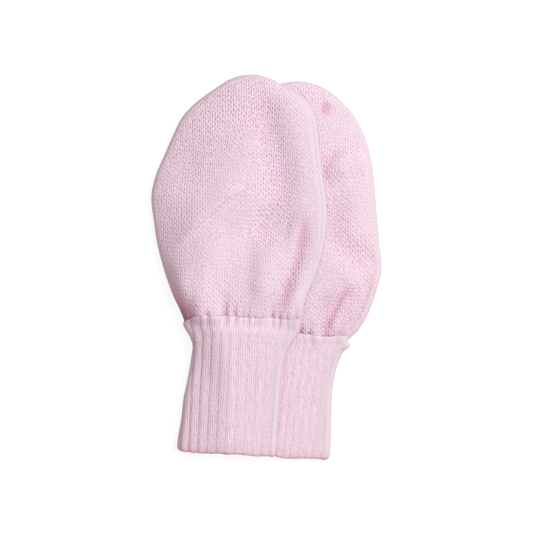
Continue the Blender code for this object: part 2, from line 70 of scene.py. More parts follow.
UPPER = Mitten(
    name="upper",
    seam_x=-8.9,
    seam_y=-20.5,
    lean=2.5,
    loft=2.4,
    hand=rows_of(
        Section,
        (0.0, -21.3, 21.4),
        (4.0, -23.2, 21.9),
        (10.0, -26.3, 22.9),
        (18.0, -29.5, 25.8),
        (27.0, -32.3, 28.1),
        (36.0, -34.1, 29.2),
        (45.0, -35.4, 28.9, 0.1),
        (53.0, -34.0, 27.4, 0.2),
        (61.0, -31.0, 26.1, 0.3),
        (68.0, -28.3, 25.0, 0.5),
        (74.0, -25.6, 24.1, 0.8),
        (79.0, -21.6, 22.4, 1.2),
        (83.0, -17.0, 19.3, 1.7),
        (86.0, -12.9, 14.5, 2.1),
        (88.5, -9.4, 8.9, 2.5),
    ),
    cuff=rows_of(
        Section,
        (-47.7, -20.8, 14.0),
        (-46.3, -21.9, 14.5),
        (-42.5, -21.8, 14.6),
        (-36.0, -20.9, 14.8),
        (-28.0, -20.4, 15.1),
        (-21.0, -19.3, 15.3),
        (-15.0, -18.4, 15.8),
        (-9.0, -17.9, 17.1),
        (-5.8, -19.0, 18.9),
        (-3.4, -20.6, 20.3),
        (-1.5, -21.7, 21.2),
        (0.0, -21.6, 21.5),
    ),
    folds=rows_of(
        Fold,
        (-4.1, 91.5, 10.4, 62.4, 11.6, 35.0, 7.3, 5.4, 1.7, 0.12),
        (20.0, 44.4, 18.0, 22.0, 10.2, 2.5, 1.8, 2.6, 0.9, 0.45),
        (1.9, 33.1, 2.1, 16.6, 2.7, 3.5, 2.6, 2.6, 0.4, 0.12),
        (-27.0, 25.7, -6.0, 47.2, -1.0, 44.3, 1.7, 5.7, -1.6, 0.0),
        (1.6, 41.6, 8.9, 35.6, 18.9, 32.5, 8.7, 7.7, 2.0, 0.1),
        (-4.8, 35.9, -16.1, 8.5, 2.8, -4.5, 6.5, 5.8, -1.6, 0.0),
        (17.4, 39.1, 6.7, 15.9, 11.1, 6.8, 5.2, 4.1, -1.2, 0.0),
        (10.3, 89.4, 17.2, 60.6, 21.6, 24.7, 7.6, 5.4, -1.3, 0.0),
        (-5.1, 89.6, -16.3, 61.8, -27.2, 41.2, 7.0, 9.2, 1.2, 0.08),
    ),
    gathers=rows_of(
        Gather,
        (-19.4, 13.0, 2.6, 2.0),
        (-15.6, 3.0, 1.0, 0.7),
        (-12.9, 6.4, 1.0, 1.1),
        (-9.2, 3.0, 1.0, 0.3),
        (-6.4, 13.0, 1.2, 1.3),
        (-2.9, 9.0, 0.9, 1.0),
        (0.1, 7.9, 0.9, 0.5),
        (2.0, 8.3, 0.8, 0.6),
        (4.6, 5.4, 0.9, 0.6),
        (7.1, 3.4, 0.9, 0.5),
        (10.8, 9.4, 0.8, 0.8),
        (13.4, 6.5, 0.8, 0.9),
        (16.2, 5.7, 0.9, 0.8),
        (20.1, 10.0, 1.6, 1.0),
    ),
    pleat_shade=0.8,
    rib_width=3.33,
    rib_place=-1.0,
    rib_lean=0.0,
    mouth_lift=0.0,
    lip=2.9,
    nap=0.55,
)

LOWER = Mitten(
    name="lower",
    seam_x=8.5,
    seam_y=-25.4,
    lean=3.4,
    loft=2.6,
    hand=rows_of(
        Section,
        (0.0, -21.9, 21.6),
        (4.0, -23.5, 25.2),
        (10.0, -25.9, 28.3),
        (18.0, -28.9, 30.7),
        (27.0, -31.2, 32.2),
        (36.0, -32.7, 30.8),
        (45.0, -33.2, 29.5, 0.1),
        (53.0, -32.8, 28.4, 0.2),
        (61.0, -31.8, 27.2, 0.3),
        (68.0, -30.2, 25.6, 0.5),
        (74.0, -28.0, 23.5, 0.8),
        (79.0, -25.4, 20.9, 1.1),
        (83.0, -22.6, 18.2, 1.5),
        (86.5, -19.0, 14.6, 1.9),
        (89.0, -15.6, 11.5, 2.3),
        (91.0, -11.9, 8.5, 2.6),
    ),
    cuff=rows_of(
        Section,
        (-44.2, -16.6, 15.9),
        (-42.8, -17.6, 17.2),
        (-39.5, -17.8, 17.4),
        (-33.5, -17.6, 17.2),
        (-27.0, -17.4, 17.0),
        (-20.0, -17.6, 16.8),
        (-12.5, -18.4, 17.5),
        (-7.0, -19.5, 18.9),
        (-4.0, -20.7, 20.2),
        (-2.2, -21.5, 22.3),
        (0.0, -22.0, 21.4),
    ),
    folds=rows_of(
        Fold,
        (9.6, 87.0, 8.1, 84.7, 7.3, 81.0, 2.0, 1.9, 0.4, 0.62),
        (16.7, 70.4, 9.2, 61.4, 14.2, 55.5, 2.6, 1.7, 0.6, 0.34),
        (17.8, 58.0, 15.0, 37.2, 34.5, 28.8, 5.0, 5.4, 1.2, 0.18),
        (6.6, 15.8, 13.9, 13.0, 24.7, 20.9, 4.9, 4.2, 0.9, 0.22),
        (29.2, 27.5, 20.9, 7.7, 13.3, 0.8, 3.2, 5.8, 1.3, 0.16),
        (22.0, 21.5, 17.0, 13.4, 12.3, 0.5, 1.0, 1.4, 0.5, 0.45),
        (11.6, 59.1, 16.5, 62.8, 28.8, 67.1, 3.9, 2.7, -1.1, 0.0),
    ),
    gathers=rows_of(
        Gather,
        (3.4, 6.0, 1.7, 1.5),
        (7.0, 5.0, 1.1, 0.9),
        (13.0, 13.0, 1.8, 1.0),
        (15.9, 6.3, 1.2, 0.7),
        (18.2, 5.7, 1.3, 1.0),
    ),
    pleat_shade=1.0,
    rib_width=2.8,
    rib_place=-0.4,
    rib_lean=0.06,
    mouth_lift=1.5,
    lip=1.5,
    nap=0.3,
)

# The same heights as the solids have: how high the upper mitten rests, and how the hollow rises.
PALM = 1.5  # wall of a palm
PANEL = 1.6  # wall of a back
SEAM_GAP = 0.3
LEAST_HOLLOW = 0.4
REST_SLACK = 0.15
REST_ON_HAND = PALM + SEAM_GAP + LEAST_HOLLOW / 2 + PANEL + SEAM_GAP + REST_SLACK
REST_ON_CUFF = 5.4
CLIMB_START = 19.0  # how far outside the lower mitten's outline the upper one starts to climb
CLIMB_END = 2.0  # and is fully up
CUFF_STEP = 4.0
PRESSED_FROM = -1.0  # how far inside the upper one's outline the lower one starts to sink
PRESSED_TO = 11.5  # and is flat
RISE_AT_SEAM = 5.0  # length over which a hand's sides rise by the seam
RISE_AT_TIP = 25.5  # and further up
RISE_GROWS_FROM = 10.0
RISE_GROWS_TO = 40.0
RISE_POWER = 2.4
CUFF_DRAPE = 32.0
DRAPE_BLEND = 0.5
DRAPE_BLEND_REACH = 3.0
SEAM_RISE = 14.0
SEAM_SHARE = 0.6
FOLD_FADE = 0.3  # share of a fold's length over which each end fades
FOLD_POINTS = 13
DOME_START = 0.8

EDGE = 1.65  # height of the line where back and palm meet
EDGE_ROUND = 1.75  # height of the rolled edge
EDGE_ROLL = 1.6  # and its width
ROLL_STEPS = 6  # rows of points on the rolled edge
SEAM_ROLL = 2.8  # length over which the back turns down to the cuff seam
SEAM_DROP = 0.35
SEAM_DROP_REACH = 2.0
HAND_MIDDLE = (0.0, 45.0)
OUTLINE_GRID = (61, 37)  # rows and columns of a plan for the outline
OUTLINE_STEP = 3  # points of a finer plan for one point of its outline

WALE = 1.76  # one stitch across
COURSE = 1.57  # one stitch along
JERSEY_BRIDGED = 0.85  # how far its strands are bridged to each other
STRAND_POWER = 0.8  # below 1, strands are fuller than a sine
WAIST_RELIEF = 0.25  # how much lower a strand is between its swells
JITTER = 0.22  # how far a stitch may be out of line, in stitches
SLOW_WAVES = ((0.45, 0.37, 0.16, 1.0), (0.5, 0.13, -0.29, 2.1))  # size, per wale, course and seed
UNEVEN_ACROSS = 0.5  # share of the unevenness that wales have
DRAWN_SIDE = 256  # side of the table of drawn numbers
DRAWN_FIRST = (100.0, 10.0)  # its column and row for stitch 0, 0

STITCH_RELIEF = 0.29
RELIEF_SPREAD = 0.8  # how unlike the stitches are in height
RELIEF_LEVEL = 0.7  # height in the stitches' pattern of the plain surface
RELIEF_ON_TOP = 0.9
RELIEF_IN_FOLDS = 0.4  # more than that
RELIEF_AT_EDGE = 0.5
RELIEF_EDGE_REACH = 2.5

# Painted shade on the left side above the cuff, as deeper pink.
LEFT_SHADE_AMOUNT = 0.45
LEFT_SHADE_WIDTH = 7.0
LEFT_SHADE_REACH = 40.0
LEFT_SHADE_CORNER = 13.0
LEFT_SHADOW_REACH = 26.0  # how far up from the cuff the painted shadow at the left edge reaches
LEFT_SHADOW_LEAST = 1.0  # width of that where it runs out
LEFT_SHADOW_GROWS = 3.1  # and how much wider it is at the cuff

# Raised nap hides stitches; its greyer colour is partly painted shade on the right side.
NAP_HIDES = 0.9  # share of a stitch that full nap hides
NAP_REACH = 7.0  # how far in from the right edge the nap is raised
NAP_BLEND = 4.0
NAP_SIDES = 8.0  # how much nearer to the right than to the left it is full
NAP_ON_TOP = 0.25
NAP_TOP_RISE = 18.0
RIM_NAP = 2.8  # how far in the rim's nap goes
RIM_BLEND = 1.8
RIM_HIDES = 0.8
INNER_TAPER = 5.0  # how far in the wall draws the inner face in
INNER_DROP = 0.1
BLOCK = 4000  # points measured at a time


def smooth_step(value):
    """0 below 0, 1 above 1, and an even S between them."""
    t = np.clip(value, 0.0, 1.0)
    return t * t * (3.0 - 2.0 * t)


def rounded(value):
    """Height of a quarter circle over its own radius: 0 at 0, 1 from 1 on."""
    t = np.clip(value, 0.0, 1.0)
    return np.sqrt(1.0 - (1.0 - t) ** 2)


def bell(distance, width):
    """1 at no distance, falling on both sides: e to minus the square of distance over width."""
    return np.exp(-((distance / width) ** 2))


def spline_rows(table, places):
    """Catmull-Rom curve through the rows of a table, read at places counted in rows."""
    rows = np.array(table)
    padded = np.vstack([2 * rows[0] - rows[1], rows, 2 * rows[-1] - rows[-2]])
    first = np.clip(np.floor(places).astype(int), 0, len(rows) - 2)
    t = (places - first)[:, None]
    a, b, c, d = (padded[first + k] for k in range(4))
    return b + 0.5 * t * (c - a + t * (2 * a - 5 * b + 4 * c - d + t * (3 * (b - c) + d - a)))


def rows_at(table, alongs):
    """The same curve read at distances along, found by going back from along to place."""
    places = np.linspace(0.0, len(table) - 1.0, 40 * len(table))
    return spline_rows(table, np.interp(alongs, spline_rows(table, places)[:, 0], places))


def nearest_on(points, chain):
    """For each point: its distance to an open chain, the nearest point there and how far along."""
    start, step = chain[:-1], np.diff(chain, axis=0)
    lengths = np.linalg.norm(step, axis=1)
    before = np.concatenate([[0.0], np.cumsum(lengths)])
    found = []
    for block in np.array_split(points, len(points) // BLOCK + 1):
        offset = block[:, None, :] - start
        t = np.clip((offset * step).sum(-1) / lengths**2, 0.0, 1.0)
        away = np.linalg.norm(offset - t[..., None] * step, axis=-1)
        best = away.argmin(axis=1)
        pick = np.arange(len(block))
        t = t[pick, best][:, None]
        along = (before[best] + t[:, 0] * lengths[best]) / before[-1]
        found.append(np.column_stack([away[pick, best], start[best] + t * step[best], along]))
    found = np.vstack(found)
    return found[:, 0], found[:, 1:3], found[:, 3]


def depth_inside(points, outline):
    """Signed distance to a closed outline, above zero inside."""
    loop = np.vstack([outline, outline[:1]])
    away = nearest_on(points, loop)[0]
    x, y = points[:, :1], points[:, 1:]
    x0, y0 = outline.T
    x1, y1 = loop[1:].T
    rise = np.where(y1 == y0, 1.0, y1 - y0)
    crossings = ((y0 > y) != (y1 > y)) & (x < x0 + (y - y0) * (x1 - x0) / rise)
    return np.where(crossings.sum(axis=1) % 2 == 1, away, -away)


def on_floor(mitten, plan):
    """Points of a mitten's own frame, turned by its lean and moved to their place on the floor."""
    turn = math.radians(mitten.lean)
    across, along = plan[..., 0], plan[..., 1]
    x = mitten.seam_x + across * math.cos(turn) + along * math.sin(turn)
    y = mitten.seam_y - across * math.sin(turn) + along * math.cos(turn)
    return np.stack([x, y], axis=-1)


def along_of(mitten, floor):
    """How far points of the floor lie beyond a mitten's seam line."""
    turn = math.radians(mitten.lean)
    x, y = floor[..., 0] - mitten.seam_x, floor[..., 1] - mitten.seam_y
    return x * math.sin(turn) + y * math.cos(turn)


def hand_plan(mitten, rows, columns):
    """The hand's grid of across and along, even inside and closer together over the rolled edge.

    Near the edge the steps are equal arcs of a circle: radius times one minus cosine.
    """
    arc = EDGE_ROLL * (1.0 - np.cos(np.linspace(0.0, math.pi / 2, ROLL_STEPS + 1)))
    tip = mitten.hand[-1].along
    straight = np.linspace(0.0, tip - EDGE_ROLL, rows - ROLL_STEPS)
    alongs = np.concatenate([straight, (tip - arc)[-2::-1]])
    along, left, right, bow = rows_at(mitten.hand, alongs).T
    near_left = left[:, None] + arc[:-1]
    near_right = right[:, None] - arc[-2::-1]
    inside = columns - 2 * ROLL_STEPS
    middle = np.linspace(left + EDGE_ROLL, right - EDGE_ROLL, inside, axis=1)
    across = np.hstack([near_left, middle, near_right])
    share = (across - left[:, None]) / (right - left)[:, None]
    rise = bow[:, None] * (1.0 - (2.0 * share - 1.0) ** 2)
    return np.stack([across, along[:, None] + rise + SEAM_GAP / 2], axis=-1)


def hand_chain(plan):
    """The hand's open outline: up its left side, over the tip and down its right side."""
    return np.vstack([plan[:, 0], plan[-1, 1:-1], plan[::-1, -1]])


def left_side_chain(plan):
    """The part of that outline that lies free: the left side and the tip."""
    return np.vstack([plan[:, 0], plan[-1, 1:]])


def mitten_outline(mitten):
    """The whole mitten's closed outline on the floor."""
    along, left, right, _ = np.array(mitten.cuff)[:-1].T
    left_side = np.stack([left, along], axis=1)
    right_side = np.stack([right, along], axis=1)[::-1]
    chain = hand_chain(hand_plan(mitten, *OUTLINE_GRID))
    return on_floor(mitten, np.vstack([left_side, chain, right_side]))


OUTLINES = {mitten.name: mitten_outline(mitten) for mitten in (UPPER, LOWER)}


def rise_length(along):
    """Length over which a hand's sides rise: short by the gathers, long further up."""
    grown = smooth_step((along - RISE_GROWS_FROM) / (RISE_GROWS_TO - RISE_GROWS_FROM))
    return RISE_AT_SEAM + (RISE_AT_TIP - RISE_AT_SEAM) * grown


def eased(value):
    """0 to 1, steep at first and level at the end."""
    return 1.0 - (1.0 - np.clip(value, 0.0, 1.0)) ** RISE_POWER


def seam_share(along):
    """Share of a hand's height that its cuff seam leaves."""
    return SEAM_SHARE + (1.0 - SEAM_SHARE) * smooth_step(along / SEAM_RISE)


def uncovered(mitten, floor):
    """1 where nothing lies on a mitten, down to 0 where the upper one presses on it."""
    if mitten is UPPER:
        return np.ones(len(floor))
    inside = depth_inside(floor, OUTLINES["upper"])
    return 1.0 - smooth_step((inside - PRESSED_FROM) / (PRESSED_TO - PRESSED_FROM))


def rest_parts(mitten, floor):
    """What a mitten lies on: its height over the floor, and its height where it is fully climbed.

    The upper one climbs the lower one in an S, and follows its hollow or its thicker cuff.
    """
    if mitten is LOWER:
        return np.zeros(len(floor)), np.zeros(len(floor))
    inside, along = depth_inside(floor, OUTLINES["lower"]), along_of(LOWER, floor)
    on_cuff = smooth_step((CUFF_STEP + SEAM_GAP - along) / CUFF_STEP)
    hollow = LOWER.loft * eased((inside - PANEL) / rise_length(along)) * seam_share(along)
    hollow = hollow * uncovered(LOWER, floor) * (1.0 - on_cuff)
    full = REST_ON_HAND + (REST_ON_CUFF - REST_ON_HAND) * on_cuff
    climb = smooth_step((inside + CLIMB_START) / (CLIMB_START - CLIMB_END))
    return climb * (full + hollow), full


def drape_height(mitten, rest, from_left, length):
    """How far the top of the upper mitten stays above the step in what it lies on."""
    if mitten is LOWER:
        return 0.0 * from_left
    lift = eased(from_left / length) * rest[1] - rest[0]
    blend = DRAPE_BLEND * smooth_step(from_left / DRAPE_BLEND_REACH)
    return 0.5 * (lift + np.sqrt(lift**2 + blend**2))


def fold_bell(fold, plan):
    """Share of a fold's depth, along the curve through three points: a bell across it, with one
    width on the left and one on the right of a fold that runs down, faded at both ends.
    """
    t = np.linspace(0.0, 1.0, FOLD_POINTS)[:, None]
    start, by, end = np.reshape(fold[:6], (3, 2))
    curve = start * (1 - t) * (1 - 2 * t) + by * 4 * t * (1 - t) + end * t * (2 * t - 1)
    away, nearest, along = nearest_on(plan, curve)
    offset, run = plan - nearest, end - start
    side = run[0] * offset[:, 1] - run[1] * offset[:, 0]
    width = np.where(side > 0.0, fold.right, fold.left)
    fade = smooth_step(along / FOLD_FADE) * smooth_step((1.0 - along) / FOLD_FADE)
    return fade * bell(away, width)


def gather_depth(gather, plan):
    """A pleat that is deepest at the seam and runs out at its reach."""
    fade = smooth_step(1.0 - plan[:, 1] / gather.reach)
    return gather.depth * fade * bell(plan[:, 0] - gather.across, gather.width)


def painted_fold_shade(mitten, plan, from_left):
    """Painted shade in the creases: the shade of each fold, the depth of each pleat over its width,
    and painted shade on the left side above the cuff.
    """
    folds = [fold.shade * fold_bell(fold, plan) for fold in mitten.folds]
    pleats = [gather_depth(gather, plan) / gather.width for gather in mitten.gathers]
    reach = smooth_step(1.0 - plan[:, 1] / LEFT_SHADE_REACH) + smooth_step(1.0 - plan[:, 1] / LEFT_SHADE_CORNER)
    left_shade = LEFT_SHADE_AMOUNT * smooth_step(1.0 - from_left / LEFT_SHADE_WIDTH) * reach
    return np.clip(sum(folds), 0.0, 1.0) + sum(pleats) * mitten.pleat_shade + left_shade


def hollow_height(mitten, plan, edge, from_left):
    """Height of a back's hollow with what it rests on, and how deep its troughs and pleats are."""
    floor = on_floor(mitten, plan)
    rest = rest_parts(mitten, floor)
    length = rise_length(plan[:, 1])
    start = 0.5 * (edge - PANEL + np.sqrt((edge - PANEL) ** 2 + DOME_START**2))
    dome = eased(start / length) * seam_share(plan[:, 1])
    edge_fade = smooth_step((edge - PANEL) / PANEL)
    dips = sum(fold.depth * fold_bell(fold, plan) for fold in mitten.folds)
    dips = (dips + sum(gather_depth(gather, plan) for gather in mitten.gathers)) * edge_fade
    open_air = uncovered(mitten, floor)
    drape = drape_height(mitten, rest, from_left, length)
    height = (mitten.loft * dome - dips) * open_air + drape
    height = 0.5 * (height + np.sqrt(height**2 + LEAST_HOLLOW**2 * edge_fade))
    return rest[0] + height, dips * open_air


def outer_height(mitten, plan, edge, from_left):
    """Height of a back's outer face: the edge line, the hollow and a wall that rolls over as a
    quarter circle. Also the depth of its troughs.
    """
    hollow, dips = hollow_height(mitten, plan, edge, from_left)
    return EDGE + hollow + EDGE_ROUND * rounded(edge / EDGE_ROLL), dips


def jersey(wales, courses, bridged):
    """Height of jersey stitches, from 0 in the holes to 1 on the yarn.

    Each wale is two strands that lean apart. A strand is a sine across, and swells once a course,
    half a course later between wales than in their middle. Where it swells it is bridged to the
    next strand, so that the grooves between strands are rows of holes.
    """
    side = 2.0 * np.abs(wales - np.floor(wales) - 0.5)
    strand = np.sin(math.pi * side) ** STRAND_POWER
    swell = 0.5 + 0.5 * np.cos(2.0 * math.pi * (courses - 0.5 * side))
    waist = WAIST_RELIEF * (1.0 - swell) * strand
    return 1.0 - (1.0 - strand) * (1.0 - bridged * swell) - waist


def drawn(wales, courses, seed):
    """A number from -1 to 1 drawn for every half stitch, blended between them."""
    table = np.random.default_rng(seed).uniform(-1.0, 1.0, (DRAWN_SIDE, DRAWN_SIDE))
    column, row = 2.0 * wales + DRAWN_FIRST[0], 2.0 * courses + DRAWN_FIRST[1]
    last = DRAWN_SIDE - 1
    left, below = np.floor(column).astype(int) % last, np.floor(row).astype(int) % last
    x, y = smooth_step(column - np.floor(column)), smooth_step(row - np.floor(row))
    lower = table[below, left] * (1 - x) + table[below, left + 1] * x
    upper = table[below + 1, left] * (1 - x) + table[below + 1, left + 1] * x
    return lower * (1 - y) + upper * y


def uneven(wales, courses, seed):
    """Small shifts of the stitches: two slow waves, and a shift drawn for every half stitch."""
    waves = [
        size * np.sin(per_wale * wales + per_course * courses + per_seed * seed)
        for size, per_wale, per_course, per_seed in SLOW_WAVES
    ]
    return sum(waves) + JITTER * drawn(wales, courses, seed)


def grid_normals(grid, wraps=False):
    """Unit normals of a grid of points, from the cross product of its two directions."""
    if wraps:
        along = np.roll(grid, -1, axis=0) - np.roll(grid, 1, axis=0)
        across = np.roll(grid, -1, axis=1) - np.roll(grid, 1, axis=1)
    else:
        along, across = np.gradient(grid, axis=0), np.gradient(grid, axis=1)
    normals = np.cross(across, along)
    return normals / np.maximum(np.linalg.norm(normals, axis=-1, keepdims=True), 1e-9)


def grid_quads(rows, columns, first=0, wraps=False, turned=False):
    """Quads of a grid of points, closed both ways if it wraps, turned over or not."""
    numbers = np.arange(rows * columns).reshape(rows, columns) + first
    if wraps:
        numbers = np.pad(numbers, ((0, 1), (0, 1)), mode="wrap")
    quads = np.stack([numbers[:-1, :-1], numbers[:-1, 1:], numbers[1:, 1:], numbers[1:, :-1]], -1)
    return (quads[..., ::-1] if turned else quads).reshape(-1, 4).tolist()


def rim_loop(rows, columns, first=0):
    """Indices round the edge of a grid, counterclockwise from above."""
    grid = np.arange(rows * columns).reshape(rows, columns) + first
    return [*grid[0, :-1], *grid[:-1, -1], *grid[-1, :0:-1], *grid[:0:-1, 0]]


def bridge(outer, inner):
    """Triangles from a fine loop to a coarse one that has a point for every few of its points."""
    faces = []
    ratio = len(outer) // len(inner)
    for k, start in enumerate(inner):
        end = inner[(k + 1) % len(inner)]
        span = [outer[(ratio * k + j) % len(outer)] for j in range(ratio + 1)]
        middle = ratio // 2
        faces += [(b, a, start) for a, b in zip(span[:middle], span[1 : middle + 1])]
        faces.append((span[middle], start, end))
        faces += [(b, a, end) for a, b in zip(span[middle:-1], span[middle + 1 :])]
    return [tuple(map(int, face)) for face in faces]


def panel_faces(rows, columns, coarse, turned):
    """Faces of a fine grid, of the coarse grid on its other side and of the rim between them."""
    second = (rows - 1) // coarse + 1, (columns - 1) // coarse + 1, rows * columns
    faces = grid_quads(rows, columns, turned=turned) + grid_quads(*second, turned=not turned)
    rim = bridge(rim_loop(rows, columns), rim_loop(*second))
    return faces + ([face[::-1] for face in rim] if turned else rim)


def add_cloth(name, points, faces, stitches, depth, nap, material):
    """A mesh of the points and faces that keeps its stitch coordinates, its depth in folds, its nap
    and how steep it is: 1 minus the upright part of its normal. The material paints shade by all
    three.
    """
    mesh = bpy.data.meshes.new(name)
    mesh.from_pydata((points * MM).tolist(), [], faces)
    mesh.shade_smooth()
    corners = np.zeros(len(mesh.loops), int)
    mesh.loops.foreach_get("vertex_index", corners)
    layer = mesh.uv_layers.new(name="stitches")
    layer.data.foreach_set("uv", stitches[corners].astype(np.float32).ravel())
    normals = np.zeros(3 * len(points), np.float32)
    mesh.vertex_normals.foreach_get("vector", normals)
    steep = 1.0 - np.abs(normals[2::3])
    for kept, values in (("depth", depth), ("nap", nap), ("steep", steep)):
        attribute = mesh.attributes.new(kept, "FLOAT", "POINT")
        attribute.data.foreach_set("value", values.astype(np.float32))
    mesh.materials.append(material)
    piece = bpy.data.objects.new(name, mesh)
    bpy.context.scene.collection.objects.link(piece)
    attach(piece, "root")
    return piece


GRAIN = (900.0, 1.0)  # scale and detail of the noise by which stitches show
GRAIN_RANGE = (3.4, -0.6)  # how it is stretched and shifted
WAIST_SHADE = 0.3
PLY_TURNS = (25.0, 9.0)  # how fast the plies turn along a strand and across it
PLY_HEIGHT = 0.06
FIBRE = (2600.0, 4.0)  # scale and detail of the loose fibres
FIBRE_HEIGHT = 0.55
MOTTLE = (1500.0, 5.0)  # scale and detail of the paler and greyer spots


def yarn_group():
    """Shader group for knit yarn: from stitch coordinates, how much a point is on the yarn, and its
    height with the yarn's plies and fuzz. The same strands and swells as in jersey().
    """
    group = bpy.data.node_groups.new("knit_yarn", "ShaderNodeTree")
    for name in ("Stitches", "Place"):
        group.interface.new_socket(name, in_out="INPUT", socket_type="NodeSocketVector")
    for name in ("Bridged", "Nap"):
        group.interface.new_socket(name, in_out="INPUT", socket_type="NodeSocketFloat")
    for name in ("On yarn", "Height", "Mottle"):
        group.interface.new_socket(name, in_out="OUTPUT", socket_type="NodeSocketFloat")
    nodes, links = group.nodes, group.links
    inside, outside = nodes.new("NodeGroupInput"), nodes.new("NodeGroupOutput")

    def maths(operation, *values):
        """Output of a maths node with the values on its inputs."""
        node = nodes.new("ShaderNodeMath")
        node.operation = operation
        for socket, value in zip(node.inputs, values):
            if isinstance(value, (int, float)):
                socket.default_value = value
            else:
                links.new(value, socket)
        return node.outputs[0]

    def noise(scale, detail):
        """Output of a noise node, read by the place on the piece."""
        node = nodes.new("ShaderNodeTexNoise")
        node.inputs["Scale"].default_value = scale
        node.inputs["Detail"].default_value = detail
        links.new(inside.outputs["Place"], node.inputs["Vector"])
        return node.outputs["Fac"]

    split = nodes.new("ShaderNodeSeparateXYZ")
    links.new(inside.outputs["Stitches"], split.inputs[0])
    wales, courses = split.outputs["X"], split.outputs["Y"]
    from_middle = maths("ABSOLUTE", maths("SUBTRACT", maths("FRACT", wales), 0.5))
    side = maths("MULTIPLY", from_middle, 2.0)
    strand = maths("POWER", maths("SINE", maths("MULTIPLY", side, math.pi)), STRAND_POWER)
    climb = maths("SUBTRACT", courses, maths("MULTIPLY", side, 0.5))
    wave = maths("COSINE", maths("MULTIPLY", climb, 2.0 * math.pi))
    swell = maths("MULTIPLY_ADD", wave, 0.5, 0.5)
    gap = maths("SUBTRACT", 1.0, strand)
    filled = maths("MULTIPLY", swell, inside.outputs["Bridged"])
    dip = maths("MULTIPLY", gap, maths("SUBTRACT", 1.0, filled))
    waist = maths("MULTIPLY", maths("MULTIPLY_ADD", swell, -WAIST_SHADE, WAIST_SHADE), strand)
    waist = maths("MULTIPLY", waist, inside.outputs["Bridged"])
    strength = maths("MULTIPLY_ADD", noise(*GRAIN), *GRAIN_RANGE)
    shown = maths("MULTIPLY_ADD", inside.outputs["Nap"], -NAP_HIDES, 1.0)
    strength = maths("MULTIPLY", strength, shown)
    on_yarn = maths("SUBTRACT", 1.0, maths("MULTIPLY", maths("ADD", dip, waist), strength))
    turns = [maths("MULTIPLY", way, turn) for way, turn in zip((climb, side), PLY_TURNS)]
    twist = maths("SINE", maths("ADD", *turns))
    height = maths("ADD", on_yarn, maths("MULTIPLY", twist, PLY_HEIGHT))
    height = maths("ADD", height, maths("MULTIPLY", noise(*FIBRE), FIBRE_HEIGHT))
    links.new(on_yarn, outside.inputs["On yarn"])
    links.new(height, outside.inputs["Height"])
    links.new(noise(*MOTTLE), outside.inputs["Mottle"])
    return group


YARN = yarn_group()
PALE_PINK = (0.825, 0.658, 0.737, 1.0)  # the yarn
SHADE_PINK = (0.62, 0.26, 0.38, 1.0)  # painted shade in the stitch holes and folds
GREYER = (0.745, 0.595, 0.67, 1.0)  # spots on the yarn
STEEP_SHADE = (0.6, 0.465, 0.525, 1.0)  # painted shade on steep sides, grey like fine fibres seen on edge
NAP_AND_SHADE = (0.668, 0.545, 0.6, 1.0)  # greyer raised nap, partly painted shade on the right rims, which face the light
LEFT_SHADOW = (0.25, 0.145, 0.15, 1.0)  # painted shadow at the left edge beside the cuff, where no light reaches
MOTTLE_RANGE = (-0.9, 1.9)  # share of the greyer pink, by the noise
STEEP_SHADE_RANGE = (-0.2, 2.3)  # share of the painted shade, from a level face to an upright one
NAP_AND_SHADE_SHARE = 0.95
LEFT_SHADOW_SHARE = 0.9
BUMP_HEIGHT = 0.2
FINISH = (
    ("Roughness", 0.95),
    ("Specular IOR Level", 0.15),
    ("Sheen Weight", 0.12),
    ("Sheen Roughness", 0.45),
    ("Sheen Tint", (1.0, 0.93, 0.96, 1.0)),
)


